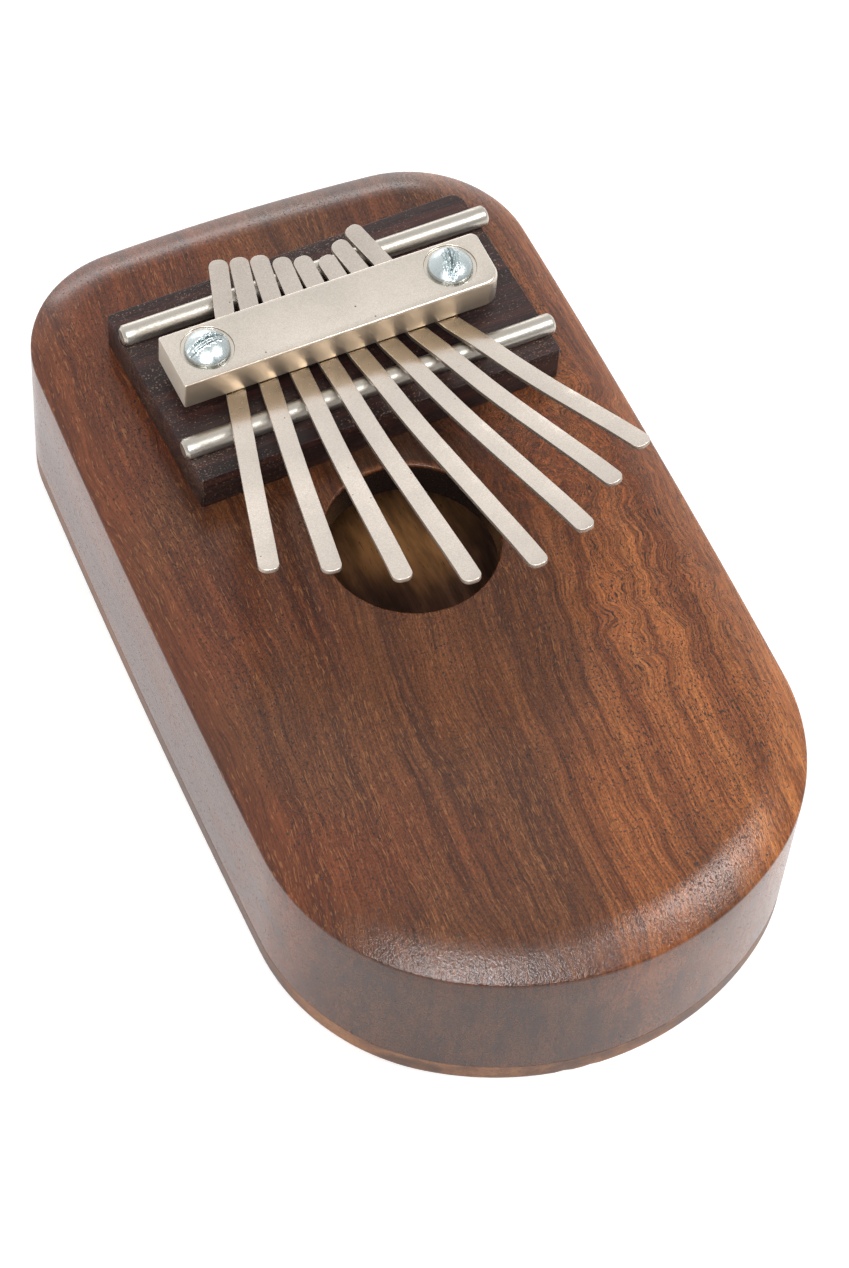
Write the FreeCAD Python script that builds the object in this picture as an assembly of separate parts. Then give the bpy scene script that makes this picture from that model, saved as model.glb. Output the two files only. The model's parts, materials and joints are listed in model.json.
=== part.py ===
"""Eight-tine mbira (kalimba): a hollow hardwood body with a screwed bridge and flexing metal tines.

Millimetres. +Z is up out of the soundboard, +Y runs from the player's end to the tuning end,
and the origin is the centre of the resting face under the back panel.
"""
import FreeCAD, Part
import math
import os

V = FreeCAD.Vector
TOLERANCE = 1e-4
FULL_TURN = 360.0

# --- body outline: tangent arcs, slightly barrelled sides ---
BODY_WIDTH = 100.0
BODY_LENGTH = 175.4
WIDEST_Y = 0.4
SIDE_R = 2280.0
NEAR_CORNER_R = 40.5
NEAR_END_R = 56.4
FAR_CORNER_R = 23.3
FAR_END_R = 438.0

# --- body heights ---
BACK_THICKNESS = 4.1
TOP_Z = 36.9
ROUNDOVER_INSET = 9.0
ROUNDOVER_DROP = 4.0
SOUNDBOARD_THICKNESS = 7.8
WALL = 12.0

# --- sound hole ---
HOLE_R = 16.0
HOLE_X = -0.9
HOLE_Y = 3.6
HOLE_EASE = 0.6

# --- bridge: every piece of it is laid out in a frame turned a little on the body ---
BRIDGE_Y = 45.0
BRIDGE_YAW = 1.8

BED_WIDTH = 71.8
BED_DEPTH = 41.0
BED_THICKNESS = 8.0
BED_P = 1.7
BED_Q = 0.5
BED_TURN = 1.2
BED_CORNER_R = 0.6
BED_SANDED_CORNER_R = 2.5
BED_EASE = 0.5

ROD_R = 2.0
ROD_LENGTH = 73.4
ROD_P = 2.3
ROD_CHAMFER = 0.5
ROD_SUNK = 1.2
ROD_SEAT_PLAY = 0.03
FRONT_ROD_Q = -13.7
REAR_ROD_Q = 14.1

BAR_LENGTH = 62.8
BAR_WIDTH = 12.0
BAR_HEIGHT = 6.35
BAR_P = 0.4
BAR_Q = -0.8
BAR_BOTTOM_Z = 47.85
BAR_NEAR_WORN_CORNER_R = 3.0
BAR_FAR_WORN_CORNER_R = 1.2
BAR_CORNER_R = 0.5
BAR_EASE = 0.3

# --- clamp screws: slotted round-head wood screws ---
SCREW_SPACING = 48.0
SCREW_P = 0.1
SCREW_Q = -0.4
SHANK_R = 1.9
SCREW_RUNNING_PLAY = 0.05
BAR_HOLE_R = 2.1
SPOTFACE_R = 4.6
SPOTFACE_DEPTH = 0.35
HEAD_R = 4.1
HEAD_RIM = 0.7
HEAD_HEIGHT = 2.7
SLOT_WIDTH = 1.1
SLOT_DEPTH = 1.2
SLOT_TURNS = (9.0, 83.0)
SCREW_TIP_Z = 31.0
SCREW_TIP_LENGTH = 4.0
SCREW_HOLE_FLOOR_Z = 30.4

# --- tines, left to right: place on the front rod, plan angle, free length, clamped length;
# the bends along a tongue are (length, turn in degrees) ---
TINE_P = (-23.2, -16.2, -9.5, -3.25, 3.15, 9.75, 16.35, 23.2)
TINE_ANGLE = (-17.1, -12.1, -7.0, -2.4, 2.9, 7.9, 13.3, 18.0)
TONGUE_LENGTH = (40.4, 45.0, 52.2, 58.0, 59.9, 56.1, 48.5, 42.9)
TAIL_LENGTH = (35.9, 34.3, 32.9, 30.9, 29.8, 28.6, 31.2, 34.0)
TINE_WIDTH = 3.6
TINE_THICKNESS = 0.9
TINE_TIP_R = 1.5
TINE_TOP_AT_ROD_Z = 49.1
TINE_DIP = 1.5
FRONT_DIP_ANGLE = 13.0
REAR_DIP_ANGLE = 10.5
BEND_LENGTH = 2.0
TONGUE_SETTLE = (3.0, -3.0)
TONGUE_STRAIGHT = 3.0
TONGUE_LIFT = (17.0, 6.0)
TONGUE_DROOP = (9.0, -4.0)
SEAM_GAP = 0.08

BED_TOP_Z = TOP_Z + BED_THICKNESS
ROD_AXIS_Z = BED_TOP_Z + ROD_R - ROD_SUNK
BAR_TOP_Z = BAR_BOTTOM_Z + BAR_HEIGHT
HEAD_SEAT_Z = BAR_TOP_Z - SPOTFACE_DEPTH
SCREW_SEATS = (SCREW_P - SCREW_SPACING / 2.0, SCREW_P + SCREW_SPACING / 2.0)


def polar(centre, radius, angle):
    """Point on a circle in the XY plane, angle in radians."""
    return (centre[0] + radius * math.cos(angle), centre[1] + radius * math.sin(angle))


def quarter_arcs(reach, corner_r, end_r):
    """Right-hand quarter from the widest line to an end that is `reach` away, as three tangent arcs.

    Returns side, corner and end arcs, each as (centre, radius, start angle, end angle).
    """
    side_x = BODY_WIDTH / 2.0 - SIDE_R
    end_y = reach - end_r
    side_to_corner = SIDE_R - corner_r
    corner_to_end = end_r - corner_r
    side_to_end = math.hypot(side_x, end_y)
    leftover = side_to_corner ** 2 + side_to_end ** 2 - corner_to_end ** 2
    closing = math.acos(leftover / (2.0 * side_to_corner * side_to_end))
    join_side = math.atan2(end_y, -side_x) + closing
    rise = side_to_corner * math.sin(join_side) - end_y
    run = side_to_corner * math.cos(join_side) + side_x
    join_end = math.atan2(rise, run)
    corner_centre = polar((side_x, 0.0), side_to_corner, join_side)
    side = ((side_x, 0.0), SIDE_R, 0.0, join_side)
    corner = (corner_centre, corner_r, join_side, join_end)
    end = ((0.0, end_y), end_r, join_end, math.pi / 2.0)
    return side, corner, end


def arc_edge(arc, grow, mirror_x, mirror_y, z):
    """One arc of the outline, grown outward, as an edge in the wanted quadrant."""
    centre, radius, start, stop = arc
    points = []
    for angle in (start, (start + stop) / 2.0, stop):
        x, y = polar(centre, radius + grow, angle)
        points.append(V(mirror_x * x, mirror_y * y + WIDEST_Y, z))
    return Part.Arc(points[0], points[1], points[2]).toShape()


def outline_face(grow, z):
    """The body's plan outline grown (or, when negative, shrunk) by `grow`, as a flat face at z."""
    half = BODY_LENGTH / 2.0
    far = quarter_arcs(half - WIDEST_Y, FAR_CORNER_R, FAR_END_R)
    near = quarter_arcs(half + WIDEST_Y, NEAR_CORNER_R, NEAR_END_R)
    edges = []
    for arcs, mirror_y in ((far, 1), (near, -1)):
        for mirror_x in (1, -1):
            for arc in arcs:
                edges.append(arc_edge(arc, grow, mirror_x, mirror_y, z))
    wire = Part.Wire(Part.__sortEdges__(edges))
    return Part.Face(wire)


def outline_solid(grow, z0, z1):
    return outline_face(grow, z0).extrude(V(0, 0, z1 - z0))


def top_edges(shape, z):
    """Edges that lie wholly in the plane at height z."""
    found = []
    for edge in shape.Edges:
        box = edge.BoundBox
        if abs(box.ZMin - z) < TOLERANCE and abs(box.ZMax - z) < TOLERANCE:
            found.append(edge)
    return found


def on_bridge(shape):
    """Carry a shape from the bridge's own frame to the body's frame."""
    shape.rotate(V(0, 0, 0), V(0, 0, 1), BRIDGE_YAW)
    shape.translate(V(0, BRIDGE_Y, 0))
    return shape


def screw_holes(radius, floor_z, roof_z):
    """Both screw bores as one tool, in the bridge's frame."""
    height = roof_z - floor_z
    left = Part.makeCylinder(radius, height, V(SCREW_SEATS[0], SCREW_Q, floor_z))
    right = Part.makeCylinder(radius, height, V(SCREW_SEATS[1], SCREW_Q, floor_z))
    return left.fuse(right)


def make_body():
    """One block with a rounded top rim, routed hollow from below, with the sound hole in its top."""
    roundover_turn = 2.0 * math.atan(ROUNDOVER_DROP / ROUNDOVER_INSET)
    roundover_r = ROUNDOVER_INSET / math.sin(roundover_turn)
    oversize = roundover_r - ROUNDOVER_INSET
    rounded = outline_solid(oversize, BACK_THICKNESS, TOP_Z)
    rounded = rounded.makeFillet(roundover_r, top_edges(rounded, TOP_Z))
    block = rounded.common(outline_solid(0.0, BACK_THICKNESS, TOP_Z))
    chamber = outline_solid(-WALL, BACK_THICKNESS, TOP_Z - SOUNDBOARD_THICKNESS)
    block = block.cut(chamber)
    hole = Part.makeCylinder(HOLE_R, TOP_Z, V(HOLE_X, HOLE_Y, BACK_THICKNESS))
    block = block.cut(hole)
    ease = Part.makeCone(HOLE_R, HOLE_R + HOLE_EASE, HOLE_EASE, V(HOLE_X, HOLE_Y, TOP_Z - HOLE_EASE))
    block = block.cut(ease)
    bores = screw_holes(SHANK_R + SCREW_RUNNING_PLAY, SCREW_HOLE_FLOOR_Z, TOP_Z)
    return block.cut(on_bridge(bores))


def make_back_panel():
    return outline_solid(0.0, 0.0, BACK_THICKNESS)


def block_with_corners(p, q, width, depth, z0, height, left_r, near_right_r, far_right_r):
    """A box centred on (p, q) whose upright corners are rounded by the given radii."""
    corner = V(p - width / 2.0, q - depth / 2.0, z0)
    box = Part.makeBox(width, depth, height, corner)
    for edge in [e for e in box.Edges if e.BoundBox.ZLength > height / 2.0]:
        middle = edge.CenterOfMass
        radius = left_r
        if middle.x > p:
            radius = far_right_r if middle.y > q else near_right_r
        box = box.makeFillet(radius, [find_edge(box, middle, height)])
    return box


def find_edge(shape, middle, height):
    """The upright edge of `shape` nearest to a point."""
    uprights = [e for e in shape.Edges if e.BoundBox.ZLength > height / 2.0]
    return min(uprights, key=lambda e: e.CenterOfMass.distanceToPoint(middle))


def rod_solid(q, radius, chamfer):
    """A round bar along the bridge at depth q, its ends chamfered."""
    start = V(ROD_P - ROD_LENGTH / 2.0, q, ROD_AXIS_Z)
    rod = Part.makeCylinder(radius, ROD_LENGTH, start, V(1, 0, 0))
    if chamfer:
        rims = [e for e in rod.Edges if e.Closed and abs(e.BoundBox.XLength) < chamfer]
        rod = rod.makeChamfer(chamfer, rims)
    return rod


def make_bridge_bed():
    """Rosewood plate with a groove for each rod and the two screw bores."""
    bed = block_with_corners(BED_P, BED_Q, BED_WIDTH, BED_DEPTH, TOP_Z, BED_THICKNESS,
                             BED_CORNER_R, BED_CORNER_R, BED_SANDED_CORNER_R)
    bed = bed.makeChamfer(BED_EASE, top_edges(bed, BED_TOP_Z))
    bed.rotate(V(BED_P, BED_Q, 0), V(0, 0, 1), BED_TURN)
    for q in (FRONT_ROD_Q, REAR_ROD_Q):
        bed = bed.cut(rod_solid(q, ROD_R + ROD_SEAT_PLAY, 0.0))
    bed = bed.cut(screw_holes(SHANK_R + SCREW_RUNNING_PLAY, TOP_Z, BED_TOP_Z))
    return on_bridge(bed)


def make_rod(q):
    return on_bridge(rod_solid(q, ROD_R, ROD_CHAMFER))


def make_pressure_bar():
    """Flat-sided bar that clamps the tines, drilled and spotfaced for the two screws."""
    bar = block_with_corners(BAR_P, BAR_Q, BAR_LENGTH, BAR_WIDTH, BAR_BOTTOM_Z, BAR_HEIGHT,
                             BAR_CORNER_R, BAR_NEAR_WORN_CORNER_R, BAR_FAR_WORN_CORNER_R)
    bar = bar.makeFillet(BAR_EASE, top_edges(bar, BAR_TOP_Z))
    bar = bar.cut(screw_holes(BAR_HOLE_R, BAR_BOTTOM_Z, BAR_TOP_Z))
    bar = bar.cut(screw_holes(SPOTFACE_R, HEAD_SEAT_Z, BAR_TOP_Z))
    return on_bridge(bar)


def make_screw(p, slot_turn):
    """Round-head wood screw: domed slotted head, plain shank, pointed end."""
    dome_height = HEAD_HEIGHT - HEAD_RIM
    dome_r = (HEAD_R ** 2 + dome_height ** 2) / (2.0 * dome_height)
    half_turn = math.asin(HEAD_R / dome_r) / 2.0
    rim = V(HEAD_R, 0, HEAD_SEAT_Z + HEAD_RIM)
    crown = V(0, 0, HEAD_SEAT_Z + HEAD_HEIGHT)
    dome_centre_z = crown.z - dome_r
    on_dome = V(dome_r * math.sin(half_turn), 0, dome_centre_z + dome_r * math.cos(half_turn))
    cone_z = SCREW_TIP_Z + SCREW_TIP_LENGTH
    corners = (crown, V(0, 0, SCREW_TIP_Z), V(SHANK_R, 0, cone_z), V(SHANK_R, 0, HEAD_SEAT_Z),
               V(HEAD_R, 0, HEAD_SEAT_Z), rim)
    edges = [Part.makeLine(a, b) for a, b in zip(corners, corners[1:])]
    edges.append(Part.Arc(rim, on_dome, crown).toShape())
    screw = Part.Face(Part.Wire(edges)).revolve(V(0, 0, 0), V(0, 0, 1), FULL_TURN)
    slot = Part.makeBox(2.0 * HEAD_R, SLOT_WIDTH, SLOT_DEPTH,
                        V(-HEAD_R, -SLOT_WIDTH / 2.0, crown.z - SLOT_DEPTH))
    slot.rotate(V(0, 0, 0), V(0, 0, 1), slot_turn)
    screw = screw.cut(slot)
    screw.translate(V(p, SCREW_Q, 0))
    return on_bridge(screw)


def strip_profile(start_y, start_z, heading, direction, segments):
    """Side view of a bent strip, as a face in the YZ plane.

    The strip's middle starts at (start_y, start_z) and runs along +Y or -Y (`direction`) at
    `heading` degrees above the horizontal. Each segment is (length, turn in degrees).
    """

    def offset(point, angle, side):
        reach = side * TINE_THICKNESS / 2.0
        y = point[0] - direction * reach * math.sin(angle)
        z = point[1] + reach * math.cos(angle)
        return V(0, y, z)

    point = (start_y, start_z)
    angle = math.radians(heading)
    upper, lower = [], []
    first = (offset(point, angle, 1), offset(point, angle, -1))
    for length, turn_degrees in segments:
        turn = math.radians(turn_degrees)
        old_point, old_angle = point, angle
        stations = []
        for share in (0.5, 1.0):
            step = length * share
            swing = turn * share
            chord = step if turn == 0 else step * math.sin(swing / 2.0) / (swing / 2.0)
            aim = old_angle + swing / 2.0
            here_y = old_point[0] + direction * chord * math.cos(aim)
            here_z = old_point[1] + chord * math.sin(aim)
            stations.append(((here_y, here_z), old_angle + swing))
        halfway, (point, angle) = stations
        for side, edges in ((1, upper), (-1, lower)):
            begin = offset(old_point, old_angle, side)
            middle = offset(halfway[0], halfway[1], side)
            stop = offset(point, angle, side)
            if turn == 0:
                edges.append(Part.makeLine(begin, stop))
            else:
                edges.append(Part.Arc(begin, middle, stop).toShape())
    last = (offset(point, angle, 1), offset(point, angle, -1))
    caps = [Part.makeLine(first[0], first[1]), Part.makeLine(last[0], last[1])]
    return Part.Face(Part.Wire(Part.__sortEdges__(upper + lower + caps)))


def bent_strip(profile, near_y, far_y, round_near):
    """Extrude a side profile to the tine's width and round the corners of its free end."""
    strip = profile.extrude(V(TINE_WIDTH, 0, 0))
    strip.translate(V(-TINE_WIDTH / 2.0, 0, 0))
    roof_z = profile.BoundBox.ZMax + TINE_THICKNESS
    blank = Part.makeBox(TINE_WIDTH, far_y - near_y, roof_z, V(-TINE_WIDTH / 2.0, near_y, 0))
    free_y = near_y if round_near else far_y
    corners = [e for e in blank.Edges
               if e.BoundBox.ZLength > TINE_WIDTH and abs(e.CenterOfMass.y - free_y) < TOLERANCE]
    blank = blank.makeFillet(TINE_TIP_R, corners)
    return strip.common(blank)


def place_tine(shape, index):
    shape.rotate(V(0, 0, 0), V(0, 0, 1), TINE_ANGLE[index])
    shape.translate(V(TINE_P[index], FRONT_ROD_Q, 0))
    return on_bridge(shape)


def make_tongue(index):
    """The free part of a tine, from the front rod out to the tip."""
    shaped = TONGUE_SETTLE[0] + TONGUE_STRAIGHT + TONGUE_LIFT[0] + TONGUE_DROOP[0]
    middle = TONGUE_LENGTH[index] - shaped
    bends = [TONGUE_SETTLE, (TONGUE_STRAIGHT, 0.0), TONGUE_LIFT, (middle, 0.0), TONGUE_DROOP]
    start_z = TINE_TOP_AT_ROD_Z - TINE_THICKNESS / 2.0
    profile = strip_profile(-SEAM_GAP / 2.0, start_z, FRONT_DIP_ANGLE, -1, bends)
    reach = profile.BoundBox.YMin
    return place_tine(bent_strip(profile, reach, -SEAM_GAP / 2.0, True), index)


def make_tail(index):
    """The clamped part of a tine: down under the pressure bar, then up over the rear rod."""
    bend_drop_front = BEND_LENGTH * math.sin(math.radians(FRONT_DIP_ANGLE / 2.0))
    bend_drop_rear = BEND_LENGTH * math.sin(math.radians(REAR_DIP_ANGLE / 2.0))
    front_run = (TINE_DIP - bend_drop_front) / math.sin(math.radians(FRONT_DIP_ANGLE))
    rear_run = (TINE_DIP - bend_drop_rear) / math.sin(math.radians(REAR_DIP_ANGLE))
    rods_apart = (REAR_ROD_Q - FRONT_ROD_Q) / math.cos(math.radians(TINE_ANGLE[index]))
    flat = rods_apart - front_run - rear_run - 2.0 * BEND_LENGTH
    past_rear_rod = TAIL_LENGTH[index] - rods_apart
    bends = [(front_run, 0.0), (BEND_LENGTH, FRONT_DIP_ANGLE), (flat, 0.0),
             (BEND_LENGTH, REAR_DIP_ANGLE), (rear_run + past_rear_rod, 0.0)]
    start_z = TINE_TOP_AT_ROD_Z - TINE_THICKNESS / 2.0
    profile = strip_profile(SEAM_GAP / 2.0, start_z, -FRONT_DIP_ANGLE, 1, bends)
    reach = profile.BoundBox.YMax
    return place_tine(bent_strip(profile, SEAM_GAP / 2.0, reach, False), index)


def write(name, shape):
    shape.exportStep("parts/%s.step" % name)
    box = shape.BoundBox
    print("%-18s solids %d valid %s volume %9.1f  x %.2f..%.2f  y %.2f..%.2f  z %.2f..%.2f" % (
        name, len(shape.Solids), shape.isValid(), shape.Volume,
        box.XMin, box.XMax, box.YMin, box.YMax, box.ZMin, box.ZMax))


os.makedirs("parts", exist_ok=True)
write("body", make_body())
write("back_panel", make_back_panel())
write("bridge_bed", make_bridge_bed())
write("front_rod", make_rod(FRONT_ROD_Q))
write("rear_rod", make_rod(REAR_ROD_Q))
write("pressure_bar", make_pressure_bar())
write("screw_left", make_screw(SCREW_SEATS[0], SLOT_TURNS[0]))
write("screw_right", make_screw(SCREW_SEATS[1], SLOT_TURNS[1]))
for number in range(len(TINE_P)):
    write("tine_%d_tongue" % (number + 1), make_tongue(number))
    write("tine_%d_tail" % (number + 1), make_tail(number))
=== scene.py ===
import json
import math

import bpy
import numpy as np
from mathutils import Matrix, Vector


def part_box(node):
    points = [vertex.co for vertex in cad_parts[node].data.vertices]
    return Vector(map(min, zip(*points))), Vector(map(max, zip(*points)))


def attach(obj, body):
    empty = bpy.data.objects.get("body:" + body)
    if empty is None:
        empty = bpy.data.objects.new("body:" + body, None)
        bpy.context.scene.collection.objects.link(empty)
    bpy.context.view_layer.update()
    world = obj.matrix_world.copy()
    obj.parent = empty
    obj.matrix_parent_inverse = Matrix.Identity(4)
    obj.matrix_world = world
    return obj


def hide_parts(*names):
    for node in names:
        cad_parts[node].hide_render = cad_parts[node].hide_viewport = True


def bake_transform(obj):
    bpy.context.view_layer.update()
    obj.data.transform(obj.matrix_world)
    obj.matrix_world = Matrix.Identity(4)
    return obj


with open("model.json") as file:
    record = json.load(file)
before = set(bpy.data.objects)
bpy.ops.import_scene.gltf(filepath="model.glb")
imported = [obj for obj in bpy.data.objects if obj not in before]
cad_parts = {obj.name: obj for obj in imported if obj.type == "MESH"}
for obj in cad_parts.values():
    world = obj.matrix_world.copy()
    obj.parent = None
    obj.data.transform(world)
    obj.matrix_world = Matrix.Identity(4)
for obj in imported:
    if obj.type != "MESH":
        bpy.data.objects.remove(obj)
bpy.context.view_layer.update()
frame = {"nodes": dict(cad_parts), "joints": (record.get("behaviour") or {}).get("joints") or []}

# Lengths in this script are millimetres until a mesh is made. The frame is in metres.
MM = 0.001


# ---------------------------------------------------------------- places read from the frame

def node_box(node):
    low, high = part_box(node)
    return np.array(low) / MM, np.array(high) / MM


def heights(node):
    low, high = node_box(node)
    return low[2], high[2]


def joint(name):
    return next(j for j in frame["joints"] if j["name"] == name)


def joint_place(name):
    return np.array(joint(name)["pos_m"]) / MM


SCREW_PLACES = {side: joint_place(side + "_screw_turn")[:2] for side in ("left", "right")}
BRIDGE_CENTRE = (SCREW_PLACES["left"] + SCREW_PLACES["right"]) / 2.0
BRIDGE_ALONG = SCREW_PLACES["right"] - SCREW_PLACES["left"]
BRIDGE_YAW = math.atan2(BRIDGE_ALONG[1], BRIDGE_ALONG[0])

BODY_LOW, BODY_HIGH = node_box("back_panel")
BODY_WIDTH = BODY_HIGH[0] - BODY_LOW[0]
BODY_LENGTH = BODY_HIGH[1] - BODY_LOW[1]
BACK_TOP_Z = BODY_HIGH[2]
TOP_Z = heights("body")[1]
BED_TOP_Z = heights("bridge_bed")[1]
BAR_BOTTOM_Z, BAR_TOP_Z = heights("pressure_bar")
ROD_BOTTOM_Z, ROD_TOP_Z = heights("front_rod")
ROD_R = (ROD_TOP_Z - ROD_BOTTOM_Z) / 2.0
ROD_AXIS_Z = ROD_BOTTOM_Z + ROD_R
SCREW_TIP_Z, SCREW_CROWN_Z = heights("screw_left")

# ---------------------------------------------------------------- driving dimensions

# Soundbox. Each quarter of its outline is three tangent arcs: side, corner, end.
WIDEST_Y = 0.4
SIDE_R = 2280.0
NEAR_CORNER_R = 40.5
NEAR_END_R = 56.4
FAR_CORNER_R = 23.3
FAR_END_R = 438.0
OUTLINE_STEP = 1.6
ROUNDOVER_INSET = 9.0
ROUNDOVER_DROP = 4.0
CREASE_Z = TOP_Z - ROUNDOVER_DROP
WALL = 12.0
SOUNDBOARD = 7.8
HOLE_R = 16.0
HOLE_EASE = 0.6
HOLE_CENTRE = np.array([-0.9, 3.6])
SEAM = 0.12
BACK_EASE = 0.35
CHIP_DEPTH = 0.9
CHIP_REACH = 2.2

# Bridge, in its own frame: along it from left to right, and across it toward the far end.
# Corner radii are near-left, near-right, far-right, far-left.
BED_SIZE = (71.8, 41.0)
BED_OFFSET = (1.6, 0.9)
BED_TURN = 1.2
BED_CORNERS = (0.5, 0.5, 2.5, 0.5)
BED_BEVEL = 0.28
ROD_LENGTH = 73.4
ROD_OFFSET = 2.2
FRONT_ROD_Q = -13.3
REAR_ROD_Q = 14.5
BAR_SIZE = (62.8, 12.0)
BAR_OFFSET = (0.3, -0.4)
BAR_CORNERS = (0.35, 3.2, 1.3, 0.35)
BAR_BEVEL = 0.1
BAR_WORN_REACH = 6.0
SPOTFACE_R = 4.85
SPOTFACE_DEPTH = 0.4
BORE_R = 2.1
HOLE_PLAY = 0.05

# Clamp screws.
HEAD_R = 4.1
HEAD_RIM = 0.7
HEAD_HEIGHT = 2.7
DOME_HEIGHT = HEAD_HEIGHT - HEAD_RIM
DOME_R = (HEAD_R ** 2 + DOME_HEIGHT ** 2) / (2.0 * DOME_HEIGHT)
SHANK_R = 1.9
THREAD_PITCH = 1.8
THREAD_DEPTH = 0.42
SLOT_TURNS = {"left": 9.0, "right": 70.0}
SLOT_DEPTH = 0.78
BURR_HEIGHT = 0.12

# Tines. A dip is the strip's slope, in degrees, where it bears on a rod. Under the bar it runs SAG lower.
TINE_COUNT = 8
TINE_WIDTH = 3.6
TINE_THICKNESS = 0.9
TINE_EDGE = 0.11
TINE_TIP_R = 1.5
FRONT_DIP = 13.0
REAR_DIP = 10.5
SAG = 1.5
SAG_BEND = 2.0
TONGUE_BENDS = ((3.0, -3.0), (3.0, 0.0), (17.0, 6.0), (None, 0.0), (9.0, -4.0))
STRIP_STEP = 0.4
SIDE_STEP = 0.6

# Edges that turn by more than this many degrees are shaded sharp.
SHARP = 35.0
SCREW_SHARP = 60.0
TINE_SHARP = 50.0


# ---------------------------------------------------------------- mesh helpers

def make_piece(name, points, faces, material, sharp=SHARP):
    """A smooth-shaded mesh object from points in millimetres."""
    mesh = bpy.data.meshes.new(name)
    mesh.from_pydata((np.asarray(points, float) * MM).tolist(), [], faces)
    mesh.update()
    return finish_piece(name, mesh, material, sharp)


def finish_piece(name, mesh, material, sharp):
    mesh.validate()
    mesh.materials.clear()
    mesh.materials.append(material)
    mesh.shade_smooth()
    mesh.set_sharp_from_angle(angle=math.radians(sharp))
    piece = bpy.data.objects.new(name, mesh)
    bpy.context.scene.collection.objects.link(piece)
    return piece


def loft(rings, close=False, cap_first=False, cap_last=False):
    """Points and faces of a surface through closed rings that have the same number of points."""
    count = len(rings[0])
    points = np.concatenate(rings)
    faces = []
    pairs = list(zip(range(len(rings) - 1), range(1, len(rings))))
    if close:
        pairs.append((len(rings) - 1, 0))
    for lower, upper in pairs:
        for i in range(count):
            j = (i + 1) % count
            faces.append((lower * count + i, lower * count + j, upper * count + j, upper * count + i))
    if cap_first:
        faces.append(tuple(range(count))[::-1])
    if cap_last:
        start = (len(rings) - 1) * count
        faces.append(tuple(range(start, start + count)))
    return points, faces


def at_height(flat, z):
    return np.column_stack([flat, np.full(len(flat), float(z))])


def circle(centre, radius, sides):
    angles = np.linspace(0, 2 * math.pi, sides, endpoint=False)
    return np.column_stack([centre[0] + radius * np.cos(angles), centre[1] + radius * np.sin(angles)])


def quarter_round(count):
    """Stations along a rounded edge, as shares of its radius: from (1, 0) to (0, 1)."""
    angles = [share * math.pi / 2.0 for share in np.linspace(0, 1, count)]
    return [(1.0 - math.sin(angle), 1.0 - math.cos(angle)) for angle in angles]


def to_world(points):
    """From the bridge's frame, whose origin is midway between the screws, to the body's frame."""
    points = np.asarray(points, float)
    c, s = math.cos(BRIDGE_YAW), math.sin(BRIDGE_YAW)
    x = BRIDGE_CENTRE[0] + points[:, 0] * c - points[:, 1] * s
    y = BRIDGE_CENTRE[1] + points[:, 0] * s + points[:, 1] * c
    return np.column_stack([x, y, points[:, 2]])


def carve(piece, tools, bevel):
    """Cut the tools out of a piece, then round what edges are left."""
    for tool in tools:
        cut = piece.modifiers.new("cut", "BOOLEAN")
        cut.operation = "DIFFERENCE"
        cut.solver = "EXACT"
        cut.object = tool
    edge = piece.modifiers.new("edge", "BEVEL")
    edge.width = bevel * MM
    edge.segments = 3
    edge.limit_method = "ANGLE"
    edge.angle_limit = math.radians(30)
    edge.use_clamp_overlap = True
    graph = bpy.context.evaluated_depsgraph_get()
    mesh = bpy.data.meshes.new_from_object(piece.evaluated_get(graph))
    name, material = piece.name, piece.data.materials[0]
    for spent in (*tools, piece):
        bpy.data.objects.remove(spent)
    mesh.name = name
    return finish_piece(name, mesh, material, SHARP)


def wander(t, seed):
    """Smooth seeded wobble of about plus or minus one along t."""
    draw = np.random.default_rng(seed)
    total = np.zeros_like(np.asarray(t, float))
    for rate in (1.0, 2.0, 4.0):
        phase = draw.uniform(0, 2 * math.pi, 2)
        total = total + np.sin(t * rate + phase[0]) * np.cos(t * rate * 0.618 + phase[1]) / rate ** 0.7
    return total


# ---------------------------------------------------------------- node helpers

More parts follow.
